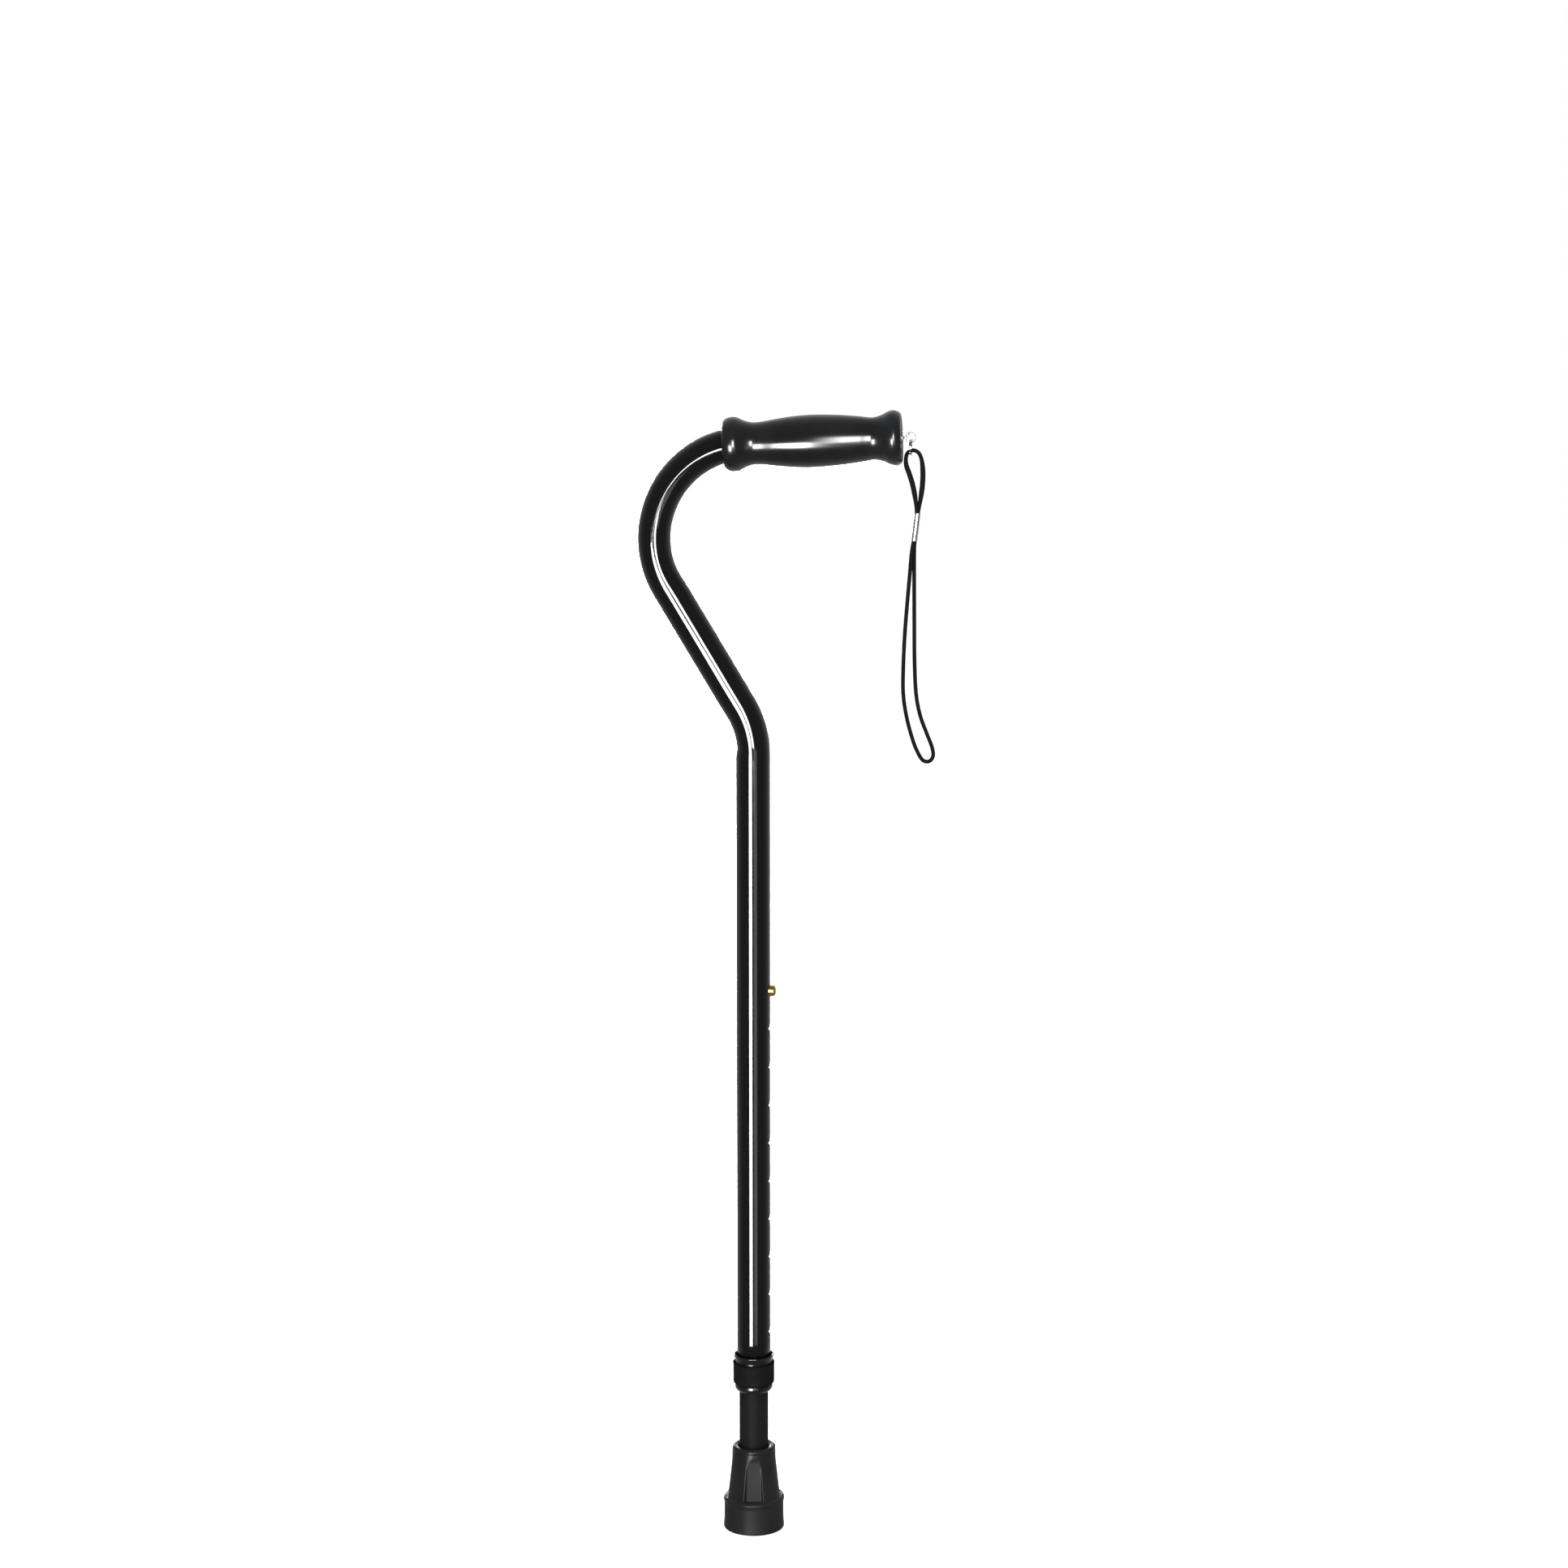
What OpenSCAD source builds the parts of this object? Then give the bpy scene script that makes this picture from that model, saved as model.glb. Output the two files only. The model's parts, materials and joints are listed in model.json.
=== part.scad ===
// Height-adjustable offset-handle walking cane with a wrist strap.
// Millimetres. The origin is the centre of the rubber foot's sole, +Z runs up the shaft,
// and +X points towards the free end of the handle. The shaft is bent in the XZ plane.

/* [Shaft] */
// Outer diameter of the upper tube
upper_od = 22.2; // [21.8:0.1:22.6]
// Outer diameter of the lower tube, which slides inside the upper one
lower_od = 19.05; // [18.6:0.05:19.1]
// Wall thickness of both tubes
tube_wall = 1.2; // [1:0.1:1.25]
// Number of height-setting holes in the upper tube
hole_count = 10; // [6:1:10]
// Distance between neighbouring height-setting holes
hole_pitch = 25.4; // [20:0.1:25.4]
// Diameter of a height-setting hole
hole_d = 7.9; // [7.8:0.1:8.5]
// Height of the lowest height-setting hole
lowest_hole_z = 132.8; // [128:0.1:140]

/* [Handle bends] */
// Height at which the shaft starts to lean back
crank_start_z = 515.6; // [500:0.1:530]
// Angle by which the shaft leans back
crank_angle = 31; // [25:1:35]
// Centreline radius of the lean-back bend
crank_radius = 60; // [50:1:70]
// Length of the straight run between the two bends
crank_run = 88.3; // [70:0.1:100]
// Centreline radius of the bend that brings the tube over into the handle
crook_radius = 60; // [55:1:62]
// Upward tilt of the handle towards its free end, in degrees
handle_tilt = 2.4; // [0:0.1:5]

/* [Grip] */
// Length of the moulded grip
grip_length = 113; // [105:1:120]
// Radius of the grip at its two end flanges
grip_flange_r = 17.5; // [16.5:0.1:19]
// Radius of the grip at its two necks
grip_neck_r = 13.5; // [13:0.1:14.5]
// Radius of the grip at its belly
grip_belly_r = 16.8; // [15.5:0.1:18]

/* [Locking collar] */
// Height of the collar's lower edge
collar_z = 93.7; // [90:0.1:96]
// Outer diameter of the locking nut
nut_od = 24.9; // [24.6:0.1:26]
// Outer diameter of the soft band on the nut
band_od = 27.6; // [27:0.1:30]

/* [Foot] */
// Diameter of the foot's base
foot_od = 39.2; // [36:0.1:44]
// Height of the foot
foot_height = 55.8; // [52:0.1:60]
// Number of flutes round the foot
flute_count = 4; // [3:1:8]

/* [Strap] */
// Diameter of the strap cord
cord_d = 2.6; // [2.2:0.1:2.6]
// Outer diameter of the split ring
split_ring_od = 10.7; // [10.5:0.1:10.8]

/* [Hidden] */
$fn = 64;

upper_r = upper_od / 2;
upper_bore_r = upper_r - tube_wall;
lower_r = lower_od / 2;
lower_bore_r = lower_r - tube_wall;
overrun = 2;

// Colours
gloss_black = [0.03, 0.03, 0.035];
satin_black = [0.09, 0.09, 0.1];
rubber_black = [0.13, 0.13, 0.14];
bright_metal = [0.78, 0.78, 0.8];
brass_yellow = [0.83, 0.65, 0.3];

// Upper tube: its lower end and the corners of its bent centreline, each as [x, z]
upper_end_z = collar_z + 10.3;
crank_centre = [-crank_radius, crank_start_z];
crank_end = crank_centre + crank_radius * [cos(crank_angle), sin(crank_angle)];
crook_start = crank_end + crank_run * [-sin(crank_angle), cos(crank_angle)];
crook_centre = crook_start + crook_radius * [cos(crank_angle), sin(crank_angle)];
crook_turn = 90 + crank_angle - handle_tilt;
bend_thinning = 0.02;
bend_lap = 0.5;
crook_end = crook_centre + crook_radius * [-sin(handle_tilt), cos(handle_tilt)];

// Grip: it starts before the crook ends, and closes over the tube's open end
grip_lap = 13.2;
grip_end_wall = 5;
handle_run = grip_length - grip_lap - grip_end_wall;
top_hole_z = lowest_hole_z + (hole_count - 1) * hole_pitch;

// Eye screw, its washer, the plug it is driven into, and the split ring
eye_reach = grip_length - grip_lap + 5.4;
eye_wire_r = 0.7;
eye_loop_r = 2.6;
eye_stem_r = 1.5;
eye_stem_length = 22;
eye_hole_clearance = 0.2;
eye_washer_r = 4.6;
eye_washer_t = 0.8;
plug_length = 16;
plug_gap = 0.03;
eye_centre = crook_end + eye_reach * [cos(handle_tilt), sin(handle_tilt)];
ring_wire = 0.8;
ring_turns = 2;
ring_r = (split_ring_od - ring_wire) / 2;
ring_centre = eye_centre - [0, eye_loop_r - eye_wire_r - 0.6 + ring_r];

// Locking nut, guide bushing and grip band
bushing_r = upper_r + 0.55;
bushing_bore_r = lower_r + 0.075;
bushing_foot_z = collar_z + 3.3;
bushing_lap = 9;
collet_slots = 4;
collet_slot_w = 1.2;
nut_r = nut_od / 2;
nut_bore_r = bushing_r + 0.1;
nut_top_z = collar_z + 24.3;
nut_lip_r = nut_r + 0.75;
band_z = collar_z + 4.9;
band_h = 14;
band_r = band_od / 2;
band_edge = 0.9;

// Snap button and its spring leaf
button_r = 3.75;
button_top = upper_r + 3.9;
button_dome = 1.9;
button_flange_r = 4.5;
button_flange_t = 0.95;
button_back = 6;
leaf_t = 0.5;
leaf_w = 8;
leaf_above = 7;
leaf_below = 30;
leaf_far = 7.2;
lower_top_z = top_hole_z + 18;

// Foot
foot_r = foot_od / 2;
foot_floor = 12;
foot_washer_t = 1.6;
foot_lip_z = 20.3;
foot_lip_r = foot_r + 0.5;
cone_foot_r = foot_r - 1.6;
cone_top_r = 14;
flute_floor_z = 21.6;
flute_height = 29;
flute_floor_r = 15.3;
flute_lean = 2.2;
flute_w_bottom = 12.4;
flute_w_top = 8.5;
flute_turn = -85;

// Strap cord: centreline as [x, y, z]. It starts inside the crimp, makes the small loop
// over the split ring, runs back through the crimp, and makes the long wrist loop.
strap_route = [
    [103.7, 1.4, 661], [104.4, 1.4, 667], [105.2, 1.4, 672], [106.6, 1.2, 680],
    [107.6, 0.9, 688], [107.8, 0.6, 696], [107, 0.3, 703.4], [105, 0.1, 707.9],
    [101.4, 0, 709.4], [98.1, -0.1, 707.6], [97.1, -0.3, 704], [97.5, -0.5, 699.6],
    [99.2, -0.8, 695], [101.3, -1.1, 688.5], [103, -1.4, 680.5], [104.1, -1.4, 672],
    [103.9, -1.4, 667], [103.2, -1.4, 661], [102.2, -1.4, 652], [101, -1.4, 644],
    [99.9, -1.5, 630], [98.4, -1.7, 612], [97, -1.8, 592], [96.2, -1.8, 572],
    [96.3, -1.7, 555], [98.6, -1.3, 540], [102.4, -0.8, 526], [105.6, -0.4, 518],
    [109, 0, 512.8], [113, 0.3, 512.2], [115.4, 0.5, 515.6], [114.6, 0.8, 521.5],
    [111.2, 1.3, 530], [106.8, 1.6, 542], [104.2, 1.8, 556], [103.2, 1.8, 576],
    [102.9, 1.7, 600], [102.6, 1.4, 644], [102.9, 1.4, 652], [103.6, 1.4, 660]
];
cord_sides = 8;
crimp_centre = [103.6, 661.2];
crimp_lean = 6.5;
crimp_length = 18;
crimp_w = 4;
crimp_deep = 6.6;
crimp_wall = 0.9;

// A round bar of radius r along the upper tube's centreline, hollow where bore is over 0.
// Each run starts where the one before it ends, with its own Z along the bar.
module along_handle(r, bore = 0) {
    bend_bore = bore > 0 ? bore + bend_thinning : 0;
    translate([0, 0, upper_end_z]) linear_extrude(crank_start_z - upper_end_z + bend_lap) disc(r, bore);
    translate([0, 0, crank_start_z]) {
        translate([-crank_radius, 0, 0]) {
            rotate([90, 0, 0]) rotate_extrude(angle = crank_angle)
                translate([crank_radius, 0]) disc(r - bend_thinning, bend_bore);
            rotate([0, -crank_angle, 0]) translate([crank_radius, 0, 0]) {
                translate([0, 0, -bend_lap]) linear_extrude(crank_run + 2 * bend_lap) disc(r, bore);
                translate([crook_radius, 0, crank_run]) {
                    rotate([90, 0, 180]) rotate_extrude(angle = crook_turn)
                        translate([crook_radius, 0]) disc(r - bend_thinning, bend_bore);
                    rotate([0, crook_turn, 0]) translate([-crook_radius, 0, -bend_lap])
                        linear_extrude(handle_run + bend_lap) disc(r, bore);
                }
            }
        }
    }
}

// A flat disc of radius r, with a round hole where bore is over 0
module disc(r, bore) {
    difference() {
        circle(r = r);
        if (bore > 0) circle(r = bore);
    }
}

// Puts a shape on the handle's axis, at a distance from the crook's end
module on_handle(along) {
    translate([crook_end[0], 0, crook_end[1]]) rotate([0, 90 - handle_tilt, 0])
        translate([0, 0, along]) children();
}

// A washer or sleeve: outer radius, bore radius and height
module sleeve(outer_r, bore_r, h) {
    difference() {
        cylinder(r = outer_r, h = h);
        translate([0, 0, -overrun]) cylinder(r = bore_r, h = h + 2 * overrun);
    }
}

// Point between b and c on a smooth curve through a, b, c and d
function between(a, b, c, d, t) =
    0.5 * (2 * b + (c - a) * t + (2 * a - 5 * b + 4 * c - d) * t * t
        + (3 * b - a - 3 * c + d) * t * t * t);

// A list of points, rounded by adding smooth points between its own
function smooth(points, steps) = [
    for (i = [0 : len(points) - 2], k = [0 : steps - 1])
        between(points[max(i - 1, 0)], points[i], points[i + 1],
            points[min(i + 2, len(points) - 1)], k / steps),
    points[len(points) - 1]
];

// Direction of a route at point i, and a ring of points square to it
function heading(route, i) =
    let (d = route[min(i + 1, len(route) - 1)] - route[max(i - 1, 0)]) d / norm(d);
function cord_ring(centre, along, r, sides) =
    let (side = [along[2], 0, -along[0]] / norm([along[2], 0, -along[0]]), up = cross(along, side))
    [for (k = [0 : sides - 1]) centre + r * (side * cos(k * 360 / sides) + up * sin(k * 360 / sides))];

// A round cord swept along a route
module swept_cord(route, r, sides) {
    last = len(route) - 1;
    points = [for (i = [0 : last]) each cord_ring(route[i], heading(route, i), r, sides)];
    walls = [for (i = [0 : last - 1], k = [0 : sides - 1])
        let (n = (k + 1) % sides)
        each [
            [i * sides + k, i * sides + n, (i + 1) * sides + n],
            [i * sides + k, (i + 1) * sides + n, (i + 1) * sides + k]
        ]];
    ends = [
        [for (k = [sides - 1 : -1 : 0]) k],
        [for (k = [0 : sides - 1]) last * sides + k]
    ];
    polyhedron(points = points, faces = [for (f = concat(walls, ends)) [for (j = [len(f) - 1 : -1 : 0]) f[j]]]);
}

module upper_tube() {
    color(gloss_black) difference() {
        along_handle(upper_r, upper_bore_r);
        for (i = [0 : hole_count - 1])
            translate([0, 0, lowest_hole_z + i * hole_pitch]) rotate([0, 90, 0])
                cylinder(d = hole_d, h = upper_od);
    }
}

module handle_grip() {
    neck_1 = 20;
    belly = 0.48 * grip_length;
    neck_2 = grip_length - 18.5;
    outline = smooth([
        [grip_flange_r - 2.4, 0.3], [grip_flange_r - 0.7, 2.2], [grip_flange_r, 6.2],
        [grip_flange_r - 1, 9.8], [grip_neck_r + 1, 14.6], [grip_neck_r, neck_1],
        [grip_neck_r + 1.2, neck_1 + 11], [grip_belly_r - 0.7, belly - 12], [grip_belly_r, belly],
        [grip_belly_r - 0.5, belly + 15], [grip_neck_r + 1.3, neck_2 - 10], [grip_neck_r, neck_2],
        [grip_neck_r + 1.1, neck_2 + 5], [grip_flange_r - 0.9, neck_2 + 9],
        [grip_flange_r, neck_2 + 12.4], [grip_flange_r - 0.7, grip_length - 2.4],
        [grip_flange_r - 2.6, grip_length - 0.4]
    ], 3);
    color(gloss_black) difference() {
        on_handle(-grip_lap) rotate_extrude() polygon(concat(
            [[0, 0], [grip_flange_r - 4, 0]], outline,
            [[grip_flange_r - 4.5, grip_length], [0, grip_length]]));
        along_handle(upper_r);
        on_handle(handle_run - overrun) cylinder(r = eye_stem_r + eye_hole_clearance, h = 20);
    }
}

module grip_end_plug() {
    color(satin_black) on_handle(handle_run - plug_length - plug_gap)
        sleeve(upper_bore_r - plug_gap, eye_stem_r, plug_length);
}

module eye_washer() {
    color(bright_metal) on_handle(grip_length - grip_lap)
        sleeve(eye_washer_r, eye_stem_r + eye_hole_clearance, eye_washer_t);
}

module eye_screw() {
    color(bright_metal) {
        on_handle(eye_reach - eye_loop_r - eye_stem_length)
            cylinder(r = eye_stem_r, h = eye_stem_length);
        translate([eye_centre[0], 0, eye_centre[1]]) rotate([90, 0, 0])
            rotate_extrude() translate([eye_loop_r, 0]) circle(r = eye_wire_r);
    }
}

module split_ring() {
    half_w = ring_turns * ring_wire / 2;
    half_h = ring_wire / 2;
    corner = 0.25;
    color(bright_metal) translate([ring_centre[0], 0, ring_centre[1]]) rotate([0, 90, 0])
        rotate_extrude() translate([ring_r, 0]) polygon([
            [half_h, half_w - corner], [half_h - corner, half_w],
            [corner - half_h, half_w], [-half_h, half_w - corner],
            [-half_h, corner - half_w], [corner - half_h, -half_w],
            [half_h - corner, -half_w], [half_h, corner - half_w]
        ]);
}

module strap_cord() {
    color(satin_black) swept_cord(smooth(strap_route, 2), cord_d / 2, cord_sides);
}

module crimp_sleeve() {
    color(bright_metal) translate([crimp_centre[0], 0, crimp_centre[1]])
        rotate([0, crimp_lean, 0]) translate([0, 0, -crimp_length / 2]) difference() {
            linear_extrude(crimp_length) slot_outline(crimp_w, crimp_deep);
            translate([0, 0, -overrun]) linear_extrude(crimp_length + 2 * overrun)
                slot_outline(crimp_w - 2 * crimp_wall, crimp_deep - 2 * crimp_wall);
        }
}

// A slot with round ends, w wide and deep long, along Y
module slot_outline(w, deep) {
    straight = deep - w;
    square([w, straight], center = true);
    for (s = [-1, 1]) translate([0, s * straight / 2]) circle(d = w);
}

module guide_bushing() {
    collet_h = upper_end_z - bushing_foot_z - 1;
    color(satin_black) difference() {
        translate([0, 0, bushing_foot_z])
            sleeve(bushing_r, bushing_bore_r, upper_end_z - bushing_foot_z + bushing_lap);
        translate([0, 0, upper_end_z]) cylinder(r = upper_r, h = bushing_lap + overrun);
        for (i = [0 : collet_slots - 1]) rotate([0, 0, 45 + i * 360 / collet_slots])
            translate([bushing_bore_r - overrun, -collet_slot_w / 2, bushing_foot_z - overrun])
                cube([upper_od, collet_slot_w, collet_h + overrun]);
    }
}

module locking_nut() {
    shoulder_z = bushing_foot_z - 0.1;
    throat_z = upper_end_z + bushing_lap + 0.2;
    tube_gap = 0.15;
    color(gloss_black) rotate_extrude() polygon([
        [lower_r + 0.3, collar_z], [nut_r - 0.9, collar_z], [nut_r - 0.2, collar_z + 1.4],
        [nut_r, collar_z + 2.4], [nut_r, nut_top_z - 3.2], [nut_lip_r - 0.15, nut_top_z - 1.6],
        [nut_lip_r, nut_top_z - 0.5], [nut_lip_r - 0.25, nut_top_z],
        [nut_lip_r - 0.75, nut_top_z - 0.1], [upper_r + tube_gap, nut_top_z - 2.6],
        [upper_r + tube_gap, throat_z], [nut_bore_r, throat_z],
        [nut_bore_r, shoulder_z], [lower_r + 0.3, shoulder_z]
    ]);
}

module nut_grip_band() {
    color(rubber_black) translate([0, 0, band_z]) rotate_extrude() polygon([
        [nut_r, 0], [band_r - band_edge, 0], [band_r - 0.25, 0.4 * band_edge], [band_r, band_edge],
        [band_r, band_h - 0.3], [band_r - 0.3, band_h], [nut_r, band_h]
    ]);
}

module lower_tube() {
    foot_z = foot_floor + foot_washer_t;
    color(satin_black) difference() {
        translate([0, 0, foot_z]) sleeve(lower_r, lower_bore_r, lower_top_z - foot_z);
        translate([0, 0, top_hole_z]) rotate([0, 90, 0]) cylinder(d = hole_d, h = upper_od);
    }
}

module snap_button() {
    straight = button_top - button_dome;
    dome_r = (button_r * button_r + button_dome * button_dome) / (2 * button_dome);
    color(brass_yellow) translate([0, 0, top_hole_z]) rotate([0, 90, 0]) {
        translate([0, 0, button_back]) cylinder(r = button_flange_r, h = button_flange_t);
        translate([0, 0, button_back]) cylinder(r = button_r, h = straight - button_back);
        intersection() {
            translate([0, 0, straight]) cylinder(r = button_r, h = button_dome + 1);
            translate([0, 0, button_top - dome_r]) sphere(r = dome_r);
        }
    }
}

module snap_spring() {
    bend_r = (button_back + leaf_far) / 2;
    bend_x = (button_back - leaf_far) / 2;
    leaf_h = leaf_above + leaf_below;
    color(bright_metal) translate([0, leaf_w / 2, top_hole_z - leaf_below]) rotate([90, 0, 0])
        linear_extrude(leaf_w) {
            translate([button_back - leaf_t, 0]) square([leaf_t, leaf_h]);
            translate([-leaf_far, 0]) square([leaf_t, leaf_h]);
            translate([bend_x, 0]) difference() {
                circle(r = bend_r);
                circle(r = bend_r - leaf_t);
                translate([-bend_r - 1, 0]) square(2 * bend_r + 2);
            }
        }
}

module foot_washer() {
    color(bright_metal) translate([0, 0, foot_floor])
        sleeve(lower_r - 0.1, lower_r / 3, foot_washer_t);
}

module ferrule() {
    mouth_r = lower_r + 1.6;
    color(rubber_black) difference() {
        rotate_extrude() polygon([
            [0, 0], [foot_r - 0.5, 0], [foot_r + 0.2, 0.5], [foot_r + 0.4, 1.4],
            [foot_r, 4.5], [foot_r, foot_lip_z - 3], [foot_lip_r - 0.1, foot_lip_z - 1.6],
            [foot_lip_r, foot_lip_z - 0.4], [foot_lip_r - 0.4, foot_lip_z + 0.7],
            [cone_foot_r, foot_lip_z + 1.5], [cone_top_r + 0.35, foot_height - 3],
            [cone_top_r + 0.1, foot_height - 1], [cone_top_r - 0.7, foot_height - 0.1],
            [mouth_r, foot_height], [lower_r, foot_height - 2.4], [lower_r, foot_floor],
            [0, foot_floor]
        ]);
        for (i = [0 : flute_count - 1]) rotate([0, 0, flute_turn + i * 360 / flute_count])
            translate([flute_floor_r, 0, flute_floor_z]) rotate([0, -flute_lean, 0])
                rotate([90, 0, 90]) linear_extrude(foot_r) polygon([
                    [-flute_w_bottom / 2, 0], [flute_w_bottom / 2, 0],
                    [flute_w_top / 2, flute_height], [-flute_w_top / 2, flute_height]
                ]);
    }
}

upper_tube();
handle_grip();
grip_end_plug();
eye_washer();
eye_screw();
split_ring();
strap_cord();
crimp_sleeve();
guide_bushing();
locking_nut();
nut_grip_band();
lower_tube();
snap_button();
snap_spring();
foot_washer();
ferrule();
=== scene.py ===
import json
import math

import bmesh
import bpy
import numpy as np
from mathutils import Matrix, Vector


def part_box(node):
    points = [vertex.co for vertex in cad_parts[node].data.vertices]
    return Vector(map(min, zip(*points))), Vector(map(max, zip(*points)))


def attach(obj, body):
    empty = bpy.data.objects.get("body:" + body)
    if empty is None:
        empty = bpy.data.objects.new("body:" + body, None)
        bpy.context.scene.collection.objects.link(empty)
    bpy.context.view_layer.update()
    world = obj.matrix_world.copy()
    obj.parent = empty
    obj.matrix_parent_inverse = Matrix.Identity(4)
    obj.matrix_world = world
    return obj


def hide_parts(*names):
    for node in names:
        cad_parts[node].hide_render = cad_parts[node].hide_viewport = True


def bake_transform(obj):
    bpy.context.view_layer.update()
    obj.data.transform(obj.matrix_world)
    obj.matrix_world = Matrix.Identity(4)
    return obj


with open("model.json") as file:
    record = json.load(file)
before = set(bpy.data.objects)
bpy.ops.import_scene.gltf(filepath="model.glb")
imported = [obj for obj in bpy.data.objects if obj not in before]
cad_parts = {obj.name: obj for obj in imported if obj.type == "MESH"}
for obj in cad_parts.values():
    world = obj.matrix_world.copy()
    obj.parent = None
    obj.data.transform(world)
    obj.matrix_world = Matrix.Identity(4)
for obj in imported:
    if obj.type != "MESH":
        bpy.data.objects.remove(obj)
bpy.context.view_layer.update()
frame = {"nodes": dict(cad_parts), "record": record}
record = frame["record"]

MM = 0.001
MERGE_WITHIN = 0.0001 * MM
UP = np.array([0.0, 0.0, 1.0])
SIDEWAYS = np.array([0.0, 1.0, 0.0])


# -------------------------------- camera
# The camera looks at AIM, from a flat distance in front of it and a little above
CAMERA_AZIMUTH = math.radians(5)
CAMERA_DISTANCE = 1.9
CAMERA_PITCH = math.radians(7.6)
FIELD_OF_VIEW = math.radians(29.4)
AIM = Vector((0.02, 0, 0.4965))


def direction(azimuth, elevation=0.0):
    """The unit vector from the cane towards a place round it. Azimuth 0 is in front, at -Y."""
    flat = math.cos(elevation)
    return Vector((math.sin(azimuth) * flat, -math.cos(azimuth) * flat, math.sin(elevation)))


def make_camera():
    data = bpy.data.cameras.new("camera")
    data.angle = FIELD_OF_VIEW
    camera = bpy.data.objects.new("camera", data)
    back = direction(CAMERA_AZIMUTH, CAMERA_PITCH)
    camera.location = AIM + back * (CAMERA_DISTANCE / math.cos(CAMERA_PITCH))
    camera.rotation_euler = (-back).to_track_quat("-Z", "Y").to_euler()
    bpy.context.scene.collection.objects.link(camera)
    bpy.context.scene.camera = camera


make_camera()


# -------------------------------- mesh helpers
FILLET_POINTS = 5
FILLET_SHARE = 0.45


def ease(t):
    """0 below 0, 1 above 1 and a smooth step between."""
    t = np.clip(t, 0, 1)
    return t * t * (3 - 2 * t)


def smooth(points, steps):
    """A list of points, rounded by adding points on a smooth curve through its own."""
    points = np.asarray(points, float)
    last = len(points) - 1
    found = []
    for i in range(last):
        a, b = points[max(i - 1, 0)], points[i]
        c, d = points[i + 1], points[min(i + 2, last)]
        for k in range(steps):
            t = k / steps
            found.append(0.5 * (2 * b + (c - a) * t + (2 * a - 5 * b + 4 * c - d) * t * t
                                + (3 * b - a - 3 * c + d) * t ** 3))
    found.append(points[last])
    return np.array(found)


def fillet(corner, before, after, radius):
    """Points that round an outline's corner, between its neighbours before and after."""
    corner, before, after = (np.asarray(p, float) for p in (corner, before, after))
    a = corner + (before - corner) / np.linalg.norm(before - corner) * radius
    b = corner + (after - corner) / np.linalg.norm(after - corner) * radius
    ts = np.linspace(0, 1, FILLET_POINTS)
    return [(1 - t) ** 2 * a + 2 * t * (1 - t) * corner + t * t * b for t in ts]


def rounded(outline, radius, closed=False):
    """An outline with its corners rounded, each by at most a share of its shorter side."""
    outline = [np.asarray(p, float) for p in outline]
    count = len(outline)
    found = []
    for i, corner in enumerate(outline):
        if not closed and i in (0, count - 1):
            found.append(corner)
            continue
        before, after = outline[i - 1], outline[(i + 1) % count]
        shorter = min(np.linalg.norm(corner - before), np.linalg.norm(after - corner))
        found += fillet(corner, before, after, min(radius, FILLET_SHARE * shorter))
    return np.array(found)


def circle_angles(sides):
    return np.arange(sides) * 2 * math.pi / sides


def turned(outline, origin, along, angles):
    """Rings of an outline of (radius, height) points, turned about an axis."""
    along = np.asarray(along, float)
    across = np.cross(SIDEWAYS, along)
    r, h = np.asarray(outline, float).T
    spokes = np.outer(np.cos(angles), across) + np.outer(np.sin(angles), SIDEWAYS)
    return np.asarray(origin, float) + r[:, None, None] * spokes + h[:, None, None] * along


def headings(path):
    """The unit direction of a path at each of its points."""
    ahead = np.gradient(path, axis=0)
    return ahead / np.linalg.norm(ahead, axis=1)[:, None]


def swept(path, radii, angles, start_side):
    """Rings round a path, without twist. radii holds one row for each point of the path."""
    ahead = headings(path)
    side = np.asarray(start_side, float)
    rings = []
    for point, forward, radius in zip(path, ahead, radii):
        side = side - forward * side.dot(forward)
        side /= np.linalg.norm(side)
        other = np.cross(forward, side)
        rings.append(point + np.outer(radius * np.cos(angles), side)
                     + np.outer(radius * np.sin(angles), other))
    return np.array(rings)


def capped(rings):
    """The same rings, with a point at each end that closes the mesh."""
    sides = rings.shape[1]
    first = np.repeat(rings[:1].mean(axis=1, keepdims=True), sides, axis=1)
    last = np.repeat(rings[-1:].mean(axis=1, keepdims=True), sides, axis=1)
    return np.concatenate([first, rings, last])


def ring_quads(index):
    """The four-sided faces between the rows of an array of point numbers."""
    beside = np.roll(index, -1, axis=1)
    return np.stack([index[:-1], beside[:-1], beside[1:], index[1:]], axis=-1).reshape(-1, 4)


def build(name, points, faces, material, body, nodes):
    """A finished piece: merged, with its faces outwards, riding on its body if it has one."""
    mesh = bpy.data.meshes.new(name)
    mesh.from_pydata(np.asarray(points).tolist(), [], [list(map(int, f)) for f in faces])
    work = bmesh.new()
    work.from_mesh(mesh)
    bmesh.ops.delete(work, geom=[v for v in work.verts if not v.link_faces], context="VERTS")
    bmesh.ops.remove_doubles(work, verts=work.verts, dist=MERGE_WITHIN)
    bmesh.ops.recalc_face_normals(work, faces=work.faces)
    work.to_mesh(mesh)
    work.free()
    mesh.shade_smooth()
    mesh.materials.append(material)
    piece = bpy.data.objects.new(name, mesh)
    bpy.context.scene.collection.objects.link(piece)
    if body:
        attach(piece, body)
    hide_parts(*nodes)
    return piece


def ring_piece(name, rings, material, body, nodes, wrap=False):
    """A piece whose surface is a stack of rings. With wrap, the last ring meets the first."""
    index = np.arange(rings.shape[0] * rings.shape[1]).reshape(rings.shape[:2])
    if wrap:
        index = np.vstack([index, index[:1]])
    return build(name, rings.reshape(-1, 3), ring_quads(index), material, body, nodes)


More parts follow.
